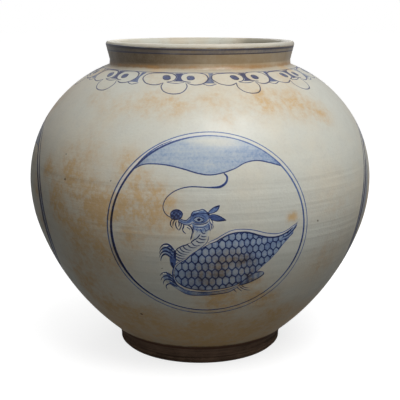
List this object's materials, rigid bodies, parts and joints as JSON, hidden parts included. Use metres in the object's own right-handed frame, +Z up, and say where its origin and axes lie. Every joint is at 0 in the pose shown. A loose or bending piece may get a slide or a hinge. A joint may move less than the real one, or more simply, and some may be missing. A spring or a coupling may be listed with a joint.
{
  "type": "storage jar",
  "caption": "Round-bellied storage jar with a short leaning neck and a turned foot ring, made of luted thrown pieces under a thin coat of glaze.",
  "frame": {"origin": "centre of the foot ring's resting plane", "axes": "+Z up the jar's axis, out of the mouth; -Y towards the viewer of the picture, +X to the viewer's right"},
  "size_m": [0.4399, 0.44, 0.396],
  "materials": {
    "glaze": "semi-gloss pale grey-green glaze over fired clay, with ochre kiln stains and cobalt-blue painting under it",
    "inner_glaze": "thin semi-gloss pale glaze, duller than the outside",
    "clay": "fired pale grey-buff clay, matt",
    "foot_clay": "unglazed clay, burnt dark brown in the kiln, matt, with turning marks",
    "slip": "fired slip of the same clay, matt"
  },
  "bodies": {
    "root": {"foot_ring": "foot_clay", "foot_slip": "slip", "lower_bowl": "clay", "waist_slip": "slip", "upper_bowl": "clay", "neck_slip": "slip", "neck_collar": "clay", "outer_glaze": "glaze", "inner_glaze": "inner_glaze", "base_glaze": "inner_glaze"}
  },
  "joints": []
}
